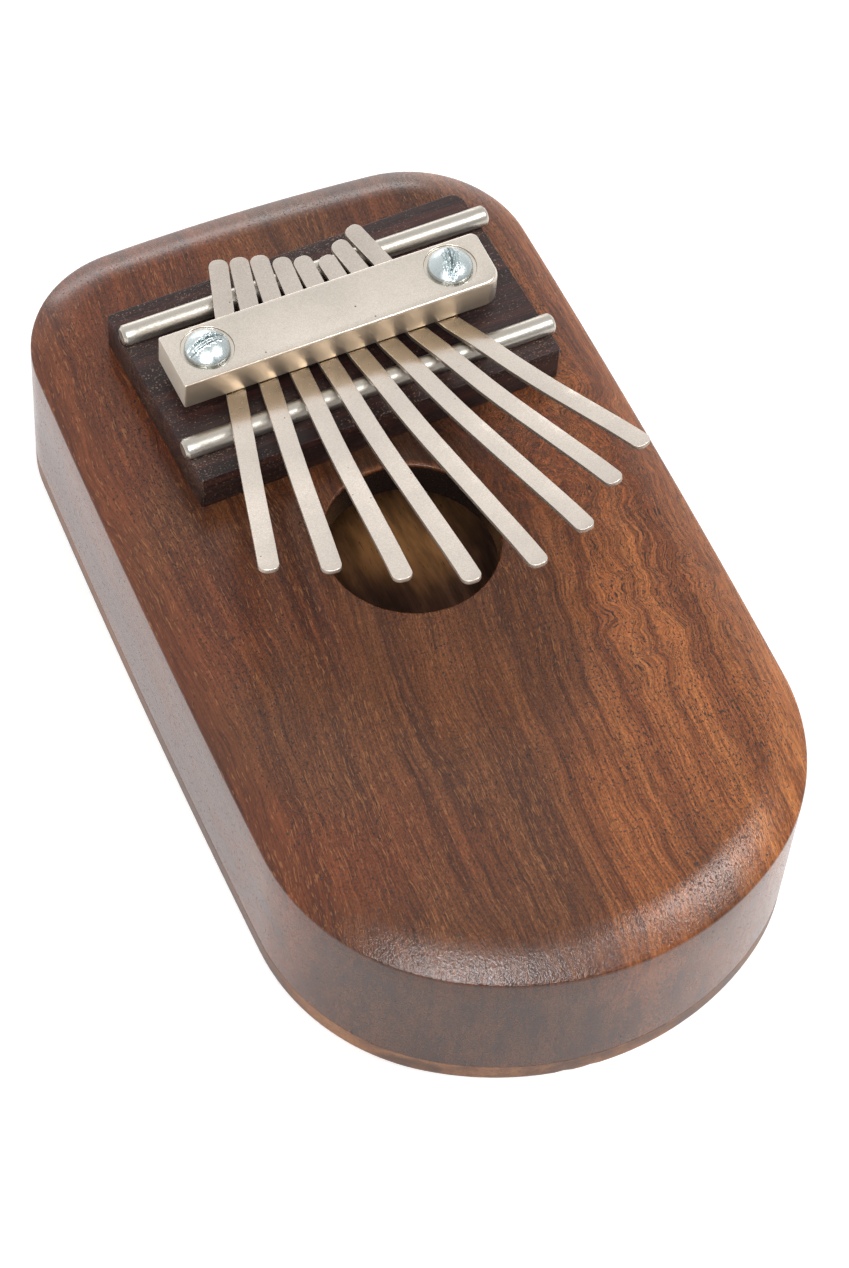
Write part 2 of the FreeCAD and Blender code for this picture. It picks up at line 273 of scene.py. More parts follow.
class Graph:
    """Short hand for building a material's nodes."""

    def __init__(self, name):
        self.material = bpy.data.materials.new(name)
        self.material.use_nodes = True
        self.tree = self.material.node_tree
        self.tree.nodes.clear()
        self.shader = self.tree.nodes.new("ShaderNodeBsdfPrincipled")
        output = self.tree.nodes.new("ShaderNodeOutputMaterial")
        self.tree.links.new(self.shader.outputs[0], output.inputs["Surface"])
        coordinates = self.tree.nodes.new("ShaderNodeTexCoord")
        self.place = coordinates.outputs["Object"]
        self.facing = coordinates.outputs["Normal"]

    def put(self, socket, value):
        if isinstance(value, bpy.types.NodeSocket):
            self.tree.links.new(value, socket)
        else:
            socket.default_value = value

    def set(self, name, value):
        self.put(self.shader.inputs[name], value)

    def new(self, kind, inputs, **settings):
        """The outputs of a new node. Its inputs, by name or number, are linked or set."""
        node = self.tree.nodes.new("ShaderNode" + kind)
        for name, value in settings.items():
            setattr(node, name, value)
        for name, value in inputs.items():
            self.put(node.inputs[name], value)
        return node.outputs

    def math(self, operation, a, b=0.0):
        return self.new("Math", {0: a, 1: b}, operation=operation)[0]

    def plus(self, a, b):
        return self.math("ADD", a, b)

    def times(self, a, b):
        return self.math("MULTIPLY", a, b)

    def scaled(self, vector, scale):
        return self.new("VectorMath", {0: vector, 1: scale}, operation="MULTIPLY")[0]

    def shifted(self, vector, wander_by, reach):
        """The vector moved by a colour noise that reaches this far along each axis."""
        return self.new("VectorMath", {0: vector, 1: self.scaled(wander_by, reach)}, operation="ADD")[0]

    def distance_to(self, vector, point):
        return self.new("VectorMath", {0: vector, 1: point}, operation="DISTANCE")["Value"]

    def part(self, vector, axis):
        return self.new("SeparateXYZ", {0: vector})[axis]

    def mapped(self, vector, scale, turn=0.0, shift=(0, 0, 0)):
        inputs = {"Vector": vector, "Location": shift, "Rotation": (0, 0, turn), "Scale": scale}
        return self.new("Mapping", inputs)[0]

    def noise(self, vector, rates, shift=(0, 0, 0), detail=3.0, rough=0.5, colour=False):
        """Noise with its own rate along each axis."""
        vector = self.mapped(vector, rates, shift=shift)
        inputs = {"Vector": vector, "Scale": 1.0, "Detail": detail, "Roughness": rough}
        return self.new("TexNoise", inputs)["Color" if colour else "Fac"]

    def cells(self, vector, rate):
        """Distance to the nearest of points that are scattered at this rate."""
        vector = self.mapped(vector, (rate, rate, rate))
        return self.new("TexVoronoi", {"Vector": vector, "Scale": 1.0})["Distance"]

    def step(self, value, low, high, to_low=0.0, to_high=1.0):
        """Smooth step of a value between two bounds. The first may be the higher one."""
        inputs = {"Value": value, "From Min": low, "From Max": high, "To Min": to_low, "To Max": to_high}
        return self.new("MapRange", inputs, interpolation_type="SMOOTHSTEP")["Result"]

    def ramp(self, value, stops):
        node = self.tree.nodes.new("ShaderNodeValToRGB")
        node.color_ramp.interpolation = "B_SPLINE"
        elements = node.color_ramp.elements
        while len(elements) < len(stops):
            elements.new(0.5)
        for element, (place, colour) in zip(elements, stops):
            element.position = place
            element.color = linear(colour)
        self.put(node.inputs["Fac"], value)
        return node.outputs["Color"]

    def mix(self, share, a, b, blend="MIX"):
        node = self.tree.nodes.new("ShaderNodeMix")
        node.data_type = "RGBA"
        node.blend_type = blend
        node.clamp_factor = True
        self.put(node.inputs["Factor"], share)
        colour_inputs = [s for s in node.inputs if s.type == "RGBA"]
        self.put(colour_inputs[0], a)
        self.put(colour_inputs[1], b)
        return next(s for s in node.outputs if s.type == "RGBA")

    def painted(self, colour, mask, share, paint):
        """The colour under a paint (screen colour) that covers this share of it inside the mask."""
        return self.mix(self.times(mask, share), colour, linear(paint))

    def times_factors(self, colour, factors):
        return self.mix(1.0, colour, (*factors, 1), "MULTIPLY")

    def tinted(self, colour, mask, factors):
        """The colour, its red, green and blue multiplied by the factors inside the mask."""
        return self.mix(mask, colour, self.times_factors(colour, factors))

    def shaded(self, colour, field, low, high, darkest, lightest):
        """The colour times a grey that goes from darkest to lightest as a field goes from low to high."""
        level = self.step(field, low, high, darkest, lightest)
        grey = self.new("CombineColor", {0: level, 1: level, 2: level})[0]
        return self.mix(1.0, colour, grey, "MULTIPLY")

    def bump(self, height, depth, strength):
        inputs = {"Strength": strength, "Distance": depth * MM, "Height": height}
        return self.new("Bump", inputs)["Normal"]


def linear(colour):
    """A 0 to 255 screen colour as linear light, with full alpha."""
    values = [c / 255.0 for c in colour]
    return (*(c / 12.92 if c <= 0.04045 else ((c + 0.055) / 1.055) ** 2.4 for c in values), 1.0)


# ---------------------------------------------------------------- colours and places in the materials

PER_MM = (1000, 1000, 1000)
NO_SHIFT = (0.5, 0.5, 0.5, 1)

# Colour stops: (level of the bands' noise, screen colour).
COOL_STOPS = ((0.34, (65, 39, 27)), (0.43, (78, 45, 29)), (0.52, (93, 55, 33)), (0.66, (108, 65, 39)))
# The warm stops are lighter than the cool ones: warm wood with painted light, brighter toward the right.
WARM_STOPS = ((0.34, (90, 46, 25)), (0.43, (113, 62, 33)), (0.52, (135, 78, 42)), (0.66, (156, 95, 52)))
BACK_STOPS = ((0.34, (80, 52, 37)), (0.46, (108, 72, 50)), (0.56, (130, 89, 62)), (0.70, (156, 110, 76)))
BED_STOPS = ((0.34, (31, 19, 18)), (0.47, (41, 25, 24)), (0.58, (54, 32, 29)), (0.72, (74, 40, 33)))

CURL_DARK = (74, 34, 18)
CURL_LIGHT = (146, 72, 30)
FLECK_GOLD = (162, 110, 68)
PORE_BROWN = (32, 17, 13)
# Painted shade on the sound hole's wall.
HOLE_SHADE_BROWN = (43, 35, 32)
# Golden unfinished wood with a painted pool of light, on the chamber floor.
LIT_FLOOR_GOLD = (250, 178, 112)
BACK_PORE = (62, 32, 18)
BED_DUST = (160, 128, 104)
BED_PORE = (16, 10, 12)
METAL_DIRT = (160, 138, 110)
PINHOLE = (70, 58, 48)
SAWN_GREY = (150, 138, 122)
# Painted shade on the upright faces of nickel.
SIDE_SHADE_BROWN = (128, 112, 94)
CUT_GREY = (112, 118, 120)

# How red, green and blue are multiplied in a part of the soundbox or the chamber's floor.
RED_EDGE = (1.16, 0.86, 0.78)
GROWTH_LINE = (0.50, 0.46, 0.46)
END_GRAIN = (0.62, 0.56, 0.52)
# Lighter near-right rim: golden wood with a painted sheen.
RIM_GOLD_AND_SHEEN = (1.32, 1.38, 1.36)
# Darker wood with a painted shadow beyond the sound hole.
DARK_WOOD_AND_SHADOW = (0.36, 0.43, 0.60)
# Painted shade on the chamber floor round the pool of light.
FLOOR_SHADE = (0.62, 0.66, 0.84)

GRAIN_TURN = 3.0
CURL_PLACE = (31.0, 14.0, 37.0)
WAVE_PLACE = (36.0, -22.0, 37.0)
RIM_GOLD_AND_SHEEN_PLACE = (40.0, -62.0, TOP_Z)
DARK_WOOD_AND_SHADOW_PLACE = (3.5, 22.5, 0.0)
LIT_FLOOR_PLACE = (7.0, 27.5, 0.0)


# ---------------------------------------------------------------- materials

def curly_grain(g, mm):
    """Coordinates bent by drift, ripple, a curl beside the hole and waves below it; and the curl's mask."""
    drift = g.noise(mm, (0.016, 0.010, 0.004), detail=2, colour=True)
    ripple = g.noise(mm, (0.11, 0.06, 0.015), shift=(4, 2, 8), detail=2, colour=True)
    knot = g.noise(mm, (0.10, 0.13, 0.085), shift=(3, 1, 0), rough=0.45, colour=True)
    curl = g.step(g.distance_to(mm, CURL_PLACE), 25.0, 5.0)
    wave = g.step(g.distance_to(mm, WAVE_PLACE), 26.0, 6.0)
    bent = g.shifted(mm, drift, (15, 0, 3))
    bent = g.shifted(bent, ripple, (3.0, 0, 0.5))
    bent = g.shifted(bent, g.mix(curl, NO_SHIFT, knot), (20, 130, 0))
    bent = g.shifted(bent, g.mix(wave, NO_SHIFT, knot), (9, 22, 0))
    return bent, curl


def soundbox_wood():
    """Open-pored red-brown hardwood: grain along Y, soft dark bands, gold flecks, dark pores, some curl."""
    g = Graph("soundbox_wood")
    mm = g.mapped(g.place, PER_MM, turn=math.radians(GRAIN_TURN))
    x, y, z = (g.part(mm, axis) for axis in "XYZ")
    bent, curl = curly_grain(g, mm)
    bands = g.noise(bent, (0.24, 0.0045, 0.06), detail=2)
    streaks = g.noise(bent, (1.1, 0.018, 0.24), shift=(7, 0, 3), rough=0.65)
    fibres = g.noise(bent, (3.4, 0.13, 1.6), shift=(0, 5, 1), detail=2, rough=0.65)
    sand = g.noise(mm, (3.3, 2.2, 3.3), detail=2, rough=0.7)
    flat_top = g.step(z, TOP_Z - 1.6, TOP_Z - 0.3)

    # Cool brown on the left and at the far end, warm on the right, redder along the left edge. The warm
    # stops are lighter too: wood tone together with painted light, brighter on the right.
    tone = g.plus(g.times(bands, 0.52), g.times(streaks, 0.48))
    cloud = g.noise(mm, (0.03, 0.014, 0.03), shift=(2, 7, 5), detail=1)
    side = g.plus(x, g.step(cloud, 0.25, 0.75, -26.0, 26.0))
    side = g.plus(side, g.step(y, 20.0, 60.0, 0.0, -34.0))
    warmth_and_light = g.step(side, -14.0, 30.0)
    colour = g.mix(warmth_and_light, g.ramp(tone, COOL_STOPS), g.ramp(tone, WARM_STOPS))
    red_edge = g.times(g.step(side, -18.0, -40.0, 0.0, 0.80), g.step(y, -74.0, -56.0))
    colour = g.tinted(colour, red_edge, RED_EDGE)
    figure = g.step(g.noise(bent, (0.22, 0.16, 0.1), shift=(5, 5, 0), detail=2), 0.42, 0.62)
    colour = g.mix(g.times(curl, 0.4), colour, g.mix(figure, linear(CURL_DARK), linear(CURL_LIGHT)))

    fibred = g.shaded(colour, fibres, 0.25, 0.75, 0.54, 1.46)
    colour = g.mix(g.plus(g.times(warmth_and_light, 0.35), 0.65), colour, fibred)
    growth = g.noise(bent, (0.42, 0.0065, 0.09), shift=(1, 3, 9), detail=1, rough=0.4)
    lines = g.step(g.math("ABSOLUTE", g.math("SUBTRACT", growth, 0.5)), 0.030, 0.0)
    broken = g.step(g.noise(bent, (0.3, 0.03, 0.1), shift=(8, 8, 1), detail=2), 0.42, 0.60)
    colour = g.tinted(colour, g.times(g.times(lines, broken), 0.55), GROWTH_LINE)
    sanded = g.shaded(colour, sand, 0.3, 0.7, 0.70, 1.32)
    colour = g.mix(g.plus(g.times(flat_top, 0.65), 0.35), colour, sanded)

    patch = g.noise(mm, (0.10, 0.03, 0.05), shift=(6, 4, 1), detail=2)
    flecks = g.noise(bent, (4.6, 0.42, 2.2), shift=(2, 9, 4), detail=1)
    flecks = g.step(g.plus(flecks, g.step(patch, 0.35, 0.65, -0.05, 0.03)), 0.61, 0.70)
    fleck_share = g.step(z, CREASE_Z - 0.6, CREASE_Z + 0.2, 0.12, 0.45)
    colour = g.painted(colour, flecks, fleck_share, FLECK_GOLD)
    edges = g.plus(g.step(x, -12.0, 40.0), g.step(x, -28.0, -40.0, 0.0, 0.25))
    pores = g.noise(bent, (3.8, 1.5, 2.8), shift=(11, 2, 0), detail=1)
    pores = g.plus(pores, g.step(z, TOP_Z - 3.0, TOP_Z - 0.5, -0.05, 0.0))
    pores = g.step(g.plus(pores, g.times(edges, 0.036)), 0.62, 0.69)
    colour = g.painted(colour, pores, 0.85, PORE_BROWN)

    # Darker end grain on the near wall; a lighter near-right rim, golden wood with a painted sheen; painted
    # shade on the hole's wall; darker wood with a painted shadow beyond the hole.
    near_wall = g.times(g.step(y, -50.0, -74.0), g.step(z, CREASE_Z + 0.3, CREASE_Z - 0.3))
    colour = g.tinted(colour, near_wall, END_GRAIN)
    # Painted sheen: the near-right rim is lightened where the lamps' highlight falls, over warmer golden
    # wood.
    rim_gold_and_sheen = g.times(g.step(g.distance_to(mm, RIM_GOLD_AND_SHEEN_PLACE), 34.0, 14.0),
                       g.step(z, TOP_Z - 0.1, TOP_Z - 1.2))
    colour = g.tinted(colour, rim_gold_and_sheen, RIM_GOLD_AND_SHEEN)
    flat = g.scaled(g.place, (1000, 1000, 0))
    off_axis = g.distance_to(flat, (*HOLE_CENTRE, 0.0))
    # Painted shade: the sound hole's wall is painted dark brown.
    hole_wall_shade = g.times(g.step(off_axis, HOLE_R + 1.2, HOLE_R + 0.4), g.step(z, TOP_Z - 0.25, TOP_Z - 0.9))
    colour = g.painted(colour, hole_wall_shade, 0.95, HOLE_SHADE_BROWN)
    # Painted shadow: bluish darkening of the wood between the sound hole and the bridge, where the bridge
    # and tines shade it, over darker wood.
    shadow_and_dark_wood_beyond_hole = g.times(g.step(g.distance_to(flat, DARK_WOOD_AND_SHADOW_PLACE), 16.0, 8.0),
                          g.step(off_axis, HOLE_R + 0.2, HOLE_R + 1.4))
    g.set("Base Color", g.tinted(colour, shadow_and_dark_wood_beyond_hole, DARK_WOOD_AND_SHADOW))

    # Calmer relief on the far half and the walls, hammered on the near rim.
    g.set("Roughness", g.plus(g.step(streaks, 0.3, 0.7, 0.17, 0.23), g.times(pores, 0.25)))
    g.set("IOR", 1.40)
    relief = g.math("SUBTRACT", g.times(fibres, 0.6), g.times(pores, 0.8))
    relief = g.plus(relief, g.times(sand, 1.1))
    calm = g.times(g.step(y, -10.0, 50.0, 1.0, 0.4), g.plus(g.times(flat_top, 0.35), 0.65))
    hammered = g.noise(mm, (1.7, 1.0, 1.7), shift=(5, 0, 2), rough=0.75)
    near_rim = g.times(g.step(y, -54.0, -72.0), g.step(z, CREASE_Z - 0.2, CREASE_Z + 0.2))
    near_rim = g.times(near_rim, g.math("SUBTRACT", 1.0, flat_top))
    near_rim = g.times(near_rim, g.step(x, 2.0, 28.0, 1.1, 0.45))
    relief = g.plus(g.times(relief, calm), g.times(g.times(near_rim, hammered), 3.0))
    g.set("Normal", g.bump(relief, 0.05, 0.8))
    return g.material


def back_wood():
    """Paler straight-grained hardwood of the glued back panel, golden where it is unfinished inside, with a
    painted pool of light where the sound hole lets light onto the chamber floor and painted shade round it.
    """
    g = Graph("back_wood")
    mm = g.scaled(g.place, PER_MM)
    bent = g.shifted(mm, g.noise(mm, (0.02, 0.01, 0.02), detail=2, colour=True), (18, 0, 4))
    bands = g.noise(bent, (0.16, 0.006, 0.3), detail=4, rough=0.6)
    fibres = g.noise(bent, (2.8, 0.10, 2.8), rough=0.6)
    pores = g.step(g.noise(bent, (3.6, 0.4, 3.6), shift=(4, 2, 0), detail=2), 0.63, 0.74)
    colour = g.shaded(g.ramp(bands, BACK_STOPS), fibres, 0.25, 0.75, 0.74, 1.2)
    # Painted light: a golden pool of light on the chamber floor under the sound hole, with painted shade
    # round it, over the unfinished wood.
    from_lit = g.distance_to(g.scaled(mm, (1, 1, 0)), LIT_FLOOR_PLACE)
    from_lit = g.plus(from_lit, g.step(g.noise(mm, (0.12, 0.05, 0.1)), 0.3, 0.7, -3.0, 3.0))
    floor = g.mix(g.step(from_lit, 18.5, 5.0), g.times_factors(colour, FLOOR_SHADE),
                  g.mix(0.6, colour, linear(LIT_FLOOR_GOLD)))
    streaks = g.noise(bent, (0.34, 0.07, 0.3), shift=(3, 3, 3), detail=4, rough=0.6)
    floor = g.shaded(floor, streaks, 0.36, 0.64, 0.66, 1.35)
    colour = g.mix(g.step(from_lit, 40.0, 44.0), floor, colour)
    g.set("Base Color", g.painted(colour, pores, 0.7, BACK_PORE))
    g.set("Roughness", g.step(bands, 0.3, 0.7, 0.36, 0.48))
    g.set("IOR", 1.37)
    g.set("Normal", g.bump(g.math("SUBTRACT", fibres, pores), 0.05, 0.5))
    return g.material


def bed_wood():
    """Dark rosewood, its grain along the bridge: purple-brown, red stripes, pale dust in the pores."""
    g = Graph("bed_wood")
    mm = g.mapped(g.place, PER_MM, turn=-BRIDGE_YAW)
    bent = g.shifted(mm, g.noise(mm, (0.01, 0.03, 0.03), detail=2, colour=True), (0, 9, 7))
    bands = g.noise(bent, (0.006, 0.42, 0.55), detail=4, rough=0.65)
    fibres = g.noise(bent, (0.12, 3.4, 3.4), rough=0.6)
    colour = g.shaded(g.ramp(bands, BED_STOPS), fibres, 0.25, 0.75, 0.6, 1.4)
    dust = g.noise(bent, (2.6, 3.4, 3.4), shift=(1, 6, 2), detail=1)
    patchy = g.noise(mm, (0.07, 0.12, 0.12), shift=(2, 1, 0), detail=2)
    middle_x = BRIDGE_CENTRE[0]
    dust = g.plus(dust, g.step(g.part(mm, "X"), middle_x - 10.0, middle_x - 34.0, 0.0, 0.04))
    dust = g.step(g.plus(dust, g.step(patchy, 0.3, 0.7, -0.05, 0.06)), 0.65, 0.74)
    colour = g.painted(colour, dust, 0.5, BED_DUST)
    pores = g.step(g.noise(bent, (0.5, 3.8, 3.8), shift=(8, 3, 5), detail=2), 0.62, 0.73)
    g.set("Base Color", g.painted(colour, pores, 0.8, BED_PORE))
    g.set("Roughness", g.step(bands, 0.3, 0.7, 0.42, 0.34))
    g.set("IOR", 1.4)
    g.set("Normal", g.bump(g.math("SUBTRACT", fibres, pores), 0.06, 0.6))
    return g.material


def nickel(name, colour, rough, speckle, pits, turn=0.0, sawn=(), tarnish_and_shade=None, domes=(), side_shade_and_wear=0.0):
    """Satin plate: a fine cast speckle, a slow cloudiness, a little dirt and a few dark pinholes.

    sawn: (axis, place, roughness and dullness added below it). tarnish: (low, high, colour) across Y,
    tarnish with painted shade and a painted reflection of brown wood.
    domes: centres of screw heads, whose cuts are darker. side_shade_and_wear: share of painted shade in
    brown on the upright faces, and of roughness added to them.
    """
    g = Graph(name)
    mm = g.mapped(g.place, PER_MM, turn=turn)
    cloud = g.noise(mm, (0.07, 0.07, 0.07))
    grain = g.noise(mm, (3.0, 3.0, 3.0), detail=2, rough=0.7)
    dirt = g.step(g.noise(mm, (1.1, 1.1, 1.1), shift=(5, 3, 1), rough=0.7), 0.60, 0.74)
    holes = g.step(g.cells(mm, pits), 0.055, 0.025)
    base = g.mix(g.step(cloud, 0.3, 0.7), linear(colour), linear([c * 0.95 for c in colour]))
    base = g.shaded(base, grain, 0.3, 0.7, 1.0 - speckle, 1.0 + speckle * 0.4)
    base = g.painted(base, dirt, 0.22, METAL_DIRT)
    base = g.painted(base, holes, 0.75, PINHOLE)
    roughness = g.plus(g.step(grain, 0.3, 0.7, rough - 0.04, rough + 0.05), g.times(dirt, 0.12))
    # A browner band across Y: tarnish with painted shade and a painted reflection of brown wood.
    if tarnish_and_shade is not None:
        low, high, brown = tarnish_and_shade
        across = g.part(mm, "Y")
        tarnish_and_shade_band = g.times(g.step(across, low - 2.0, low + 2.0), g.step(across, high + 0.3, high - 0.3))
        base = g.painted(base, tarnish_and_shade_band, g.step(cloud, 0.2, 0.6, 0.75, 1.0), brown)
    for axis, place, rougher, duller in sawn:
        matt = g.step(g.part(mm, axis), place + 0.12, place + 0.02)
        roughness = g.plus(roughness, g.times(matt, rougher))
        base = g.painted(base, matt, duller, SAWN_GREY)
    # Painted shade: upright faces browned, standing in for the dark wood they mirror; roughness is added
    # there too.
    if side_shade_and_wear:
        upright = g.math("ABSOLUTE", g.part(g.facing, "Z"))
        base = g.painted(base, g.step(upright, 0.55, 0.25), side_shade_and_wear, SIDE_SHADE_BROWN)
        roughness = g.plus(roughness, g.times(g.step(upright, 0.97, 0.75), side_shade_and_wear * 0.5))
    for centre in domes:
        above_seat = g.step(g.part(mm, "Z"), SCREW_CROWN_Z - 2.3, SCREW_CROWN_Z - 2.1)
        cuts = g.times(g.step(g.distance_to(mm, centre), DOME_R - 0.15, DOME_R - 0.80), above_seat)
        base = g.painted(base, cuts, 0.6, CUT_GREY)
    g.set("Base Color", base)
    g.set("Metallic", 1.0)
    g.set("Roughness", roughness)
    g.set("Normal", g.bump(g.math("SUBTRACT", grain, holes), 0.006, 0.6))
    return g.material


def floor_paint():
    """White lit table: matt white over a faint glow, so that shadows on it stay thin."""
    g = Graph("studio_floor")
    tint = g.noise(g.place, (4, 4, 4), detail=2)
    g.set("Base Color", g.mix(tint, (0.90, 0.90, 0.90, 1), (0.92, 0.92, 0.92, 1)))
    g.set("Roughness", 0.9)
    g.set("Emission Color", (1, 1, 1, 1))
    g.set("Emission Strength", 0.30)
    return g.material


# ---------------------------------------------------------------- body outline

def quarter_arcs(reach, corner_r, end_r):
    """Right-hand quarter of the outline as three tangent arcs: (centre, radius, start, end)."""
    side_x = BODY_WIDTH / 2.0 - SIDE_R
    end_y = reach - end_r
    side_to_corner = SIDE_R - corner_r
    corner_to_end = end_r - corner_r
    side_to_end = math.hypot(side_x, end_y)
    leftover = side_to_corner ** 2 + side_to_end ** 2 - corner_to_end ** 2
    join_side = math.atan2(end_y, -side_x) + math.acos(leftover / (2.0 * side_to_corner * side_to_end))
    corner = (side_x + side_to_corner * math.cos(join_side), side_to_corner * math.sin(join_side))
    join_end = math.atan2(corner[1] - end_y, corner[0])
    return (((side_x, 0.0), SIDE_R, 0.0, join_side), (corner, corner_r, join_side, join_end),
            ((0.0, end_y), end_r, join_end, math.pi / 2.0))


def outline(grow):
    """The body's plan outline grown by `grow`, as a closed ring that starts on the right."""
    half = BODY_LENGTH / 2.0
    quarters = []
    for reach, corner_r, end_r in ((half - WIDEST_Y, FAR_CORNER_R, FAR_END_R),
                                   (half + WIDEST_Y, NEAR_CORNER_R, NEAR_END_R)):
        points = []
        for (cx, cy), radius, start, stop in quarter_arcs(reach, corner_r, end_r):
            steps = max(6, int(radius * (stop - start) / OUTLINE_STEP))
            for angle in np.linspace(start, stop, steps, endpoint=False):
                x, y = (radius + grow) * math.cos(angle), (radius + grow) * math.sin(angle)
                points.append((cx + x, cy + y))
        points.append((0.0, reach + grow))
        quarters.append(np.array(points))
    far, near = quarters
    ring = np.concatenate([far, (far * (-1, 1))[-2::-1], (near * (-1, -1))[1:], (near * (1, -1))[-2:0:-1]])
    return ring + (0.0, WIDEST_Y)


# ---------------------------------------------------------------- pieces of the soundbox

# The roundover's slope at the crease in degrees, and the power by which it grows from the flat top.
ROUNDOVER_SLOPE = 34.0
ROUNDOVER_POWER = 0.4
# Which of its 401 stations become rings, from the crease up, closer where the slope changes fastest.
ROUNDOVER_PICKS = (390, 360, 320, 280, 240, 200, 165, 130, 100, 75, 54, 37, 24, 14, 7, 3, 0)
# (growth of the outline, height from the crease) of the rings that soften the crease.
CREASE_RINGS = ((-0.02, -0.2), (-0.09, 0.02))


def roundover_rings():
    """Rings of the soft roundover. Its slope rises fast where the flat ends, slowly toward the crease."""
    slope = math.radians(ROUNDOVER_SLOPE) * np.linspace(0.0, 1.0, 401) ** ROUNDOVER_POWER
    between = (slope[1:] + slope[:-1]) / 2.0
    run = np.concatenate([[0.0], np.cumsum(np.cos(between))])
    drop = np.concatenate([[0.0], np.cumsum(np.sin(between))])
    run, drop = run * ROUNDOVER_INSET / run[-1], drop * ROUNDOVER_DROP / drop[-1]
    return [at_height(outline(run[i] - ROUNDOVER_INSET), TOP_Z - drop[i]) for i in ROUNDOVER_PICKS]


def make_soundbox(material):
    """The hollow block: wall, soft roundover with a crease, top, sound hole, chamber."""
    rings = [at_height(outline(-SEAM), BACK_TOP_Z), at_height(outline(0.0), BACK_TOP_Z + SEAM)]
    for z in np.linspace(BACK_TOP_Z + SEAM, CREASE_Z - 0.45, 6)[1:]:
        rings.append(at_height(outline(0.0), z))
    for grow, rise in CREASE_RINGS:
        rings.append(at_height(outline(grow), CREASE_Z + rise))
    rings += roundover_rings()
    top = outline(-ROUNDOVER_INSET)
    rays = top - HOLE_CENTRE
    rays = rays / np.linalg.norm(rays, axis=1)[:, None]
    for share in (0.25, 0.5, 0.75):
        edge = HOLE_CENTRE + rays * (HOLE_R + HOLE_EASE)
        rings.append(at_height(top + (edge - top) * share, TOP_Z))
    for outward, down in quarter_round(6):
        r = HOLE_R + HOLE_EASE * outward
        rings.append(at_height(HOLE_CENTRE + rays * r, TOP_Z - HOLE_EASE * down))
    ceiling_z = TOP_Z - SOUNDBOARD
    for z in np.linspace(TOP_Z - HOLE_EASE, ceiling_z + 0.3, 5)[1:]:
        rings.append(at_height(HOLE_CENTRE + rays * HOLE_R, z))
    rings.append(at_height(HOLE_CENTRE + rays * (HOLE_R + 0.3), ceiling_z))
    rings.append(at_height(outline(-WALL), ceiling_z))
    rings.append(at_height(outline(-WALL), BACK_TOP_Z))
    points, faces = loft(rings, close=True)
    return make_piece("soundbox_body", points, faces, material)


def make_back_board(material):
    """The thin back panel, its lower edge eased, with small chips along the near end."""
    ring = outline(0.0)
    outward = ring / np.linalg.norm(ring, axis=1)[:, None]
    near_end = np.clip((-ring[:, 1] - BODY_LENGTH / 2.0 + CHIP_REACH) / CHIP_REACH, 0, 1)
    chips = np.clip(wander(ring[:, 0] * 0.9, 11) - 0.55, 0, 1) * near_end
    rings = [at_height(outline(-BACK_EASE - 0.4), 0.0)]
    for share, (inward, up) in zip(np.linspace(0, 1, 4), quarter_round(4)):
        chipped = outline(-BACK_EASE * inward) - outward * (chips * CHIP_DEPTH * (1 - share * 0.5))[:, None]
        rings.append(at_height(chipped, BACK_EASE * up))
    rings.append(at_height(ring - outward * (chips * 0.25)[:, None], 1.1))
    for z in (1.9, 3.0, BACK_TOP_Z - SEAM):
        rings.append(at_height(ring, z))
    rings.append(at_height(outline(-SEAM), BACK_TOP_Z))
    points, faces = loft(rings, cap_first=True, cap_last=True)
    return make_piece("back_board", points, faces, material)


# ---------------------------------------------------------------- pieces of the bridge

HALF_SPAN = np.linalg.norm(BRIDGE_ALONG) / 2.0
SCREW_CENTRES = {"left": (-HALF_SPAN, 0.0), "right": (HALF_SPAN, 0.0)}
TOOL_MATERIAL = bpy.data.materials.new("tool")

# (radius, distance in from the end) of a turned, slightly dished end, for a rod of radius 2.
ROD_END = ((0.02, 0.12), (0.7, 0.08), (1.25, 0.0), (1.42, 0.03), (1.52, 0.12), (1.93, 0.52), (2.0, 0.68))


def rounded_rectangle(width, depth, radii, steps=6):
    """Closed ring; radii are for the corners near-left, near-right, far-right, far-left."""
    corners = ((-1, -1, 180.0), (1, -1, 270.0), (1, 1, 0.0), (-1, 1, 90.0))
    ring = []
    for (sx, sy, start), r in zip(corners, radii):
        cx, cy = sx * (width / 2.0 - r), sy * (depth / 2.0 - r)
        for angle in np.radians(np.linspace(start, start + 90.0, steps)):
            ring.append((cx + r * math.cos(angle), cy + r * math.sin(angle)))
    return np.array(ring)


def make_tool(ends):
    points, faces = loft(ends, cap_first=True, cap_last=True)
    return make_piece("tool", to_world(points), faces, TOOL_MATERIAL)


def round_tool(centre, radius, z0, z1, sides=48):
    flat = circle(centre, radius, sides)
    return make_tool([at_height(flat, z0), at_height(flat, z1)])


def lying_ring(radius, p, q):
    """Upright ring round the axis of a rod that lies along the bridge at q, at the place p along it."""
    return np.insert(circle((q, ROD_AXIS_Z), radius, 64), 0, p, axis=1)


def make_bridge_bed(material):
    """The plate under the bridge, with the rods' grooves and the screws' holes."""
    flat = rounded_rectangle(*BED_SIZE, BED_CORNERS)
    turn = math.radians(BED_TURN)
    flat = flat @ np.array([[math.cos(turn), math.sin(turn)], [-math.sin(turn), math.cos(turn)]])
    flat = flat + BED_OFFSET
    points, faces = loft([at_height(flat, TOP_Z), at_height(flat, BED_TOP_Z)], cap_first=True, cap_last=True)
    bed = make_piece("bridge_plate", to_world(points), faces, material)
    tools = []
    for q in (FRONT_ROD_Q, REAR_ROD_Q):
        tools.append(make_tool([lying_ring(ROD_R + HOLE_PLAY, p, q) for p in (-BED_SIZE[0], BED_SIZE[0])]))
    for centre in SCREW_CENTRES.values():
        tools.append(round_tool(centre, SHANK_R + HOLE_PLAY, TOP_Z - 1.0, BED_TOP_Z + 1.0))
    return carve(bed, tools, BED_BEVEL)


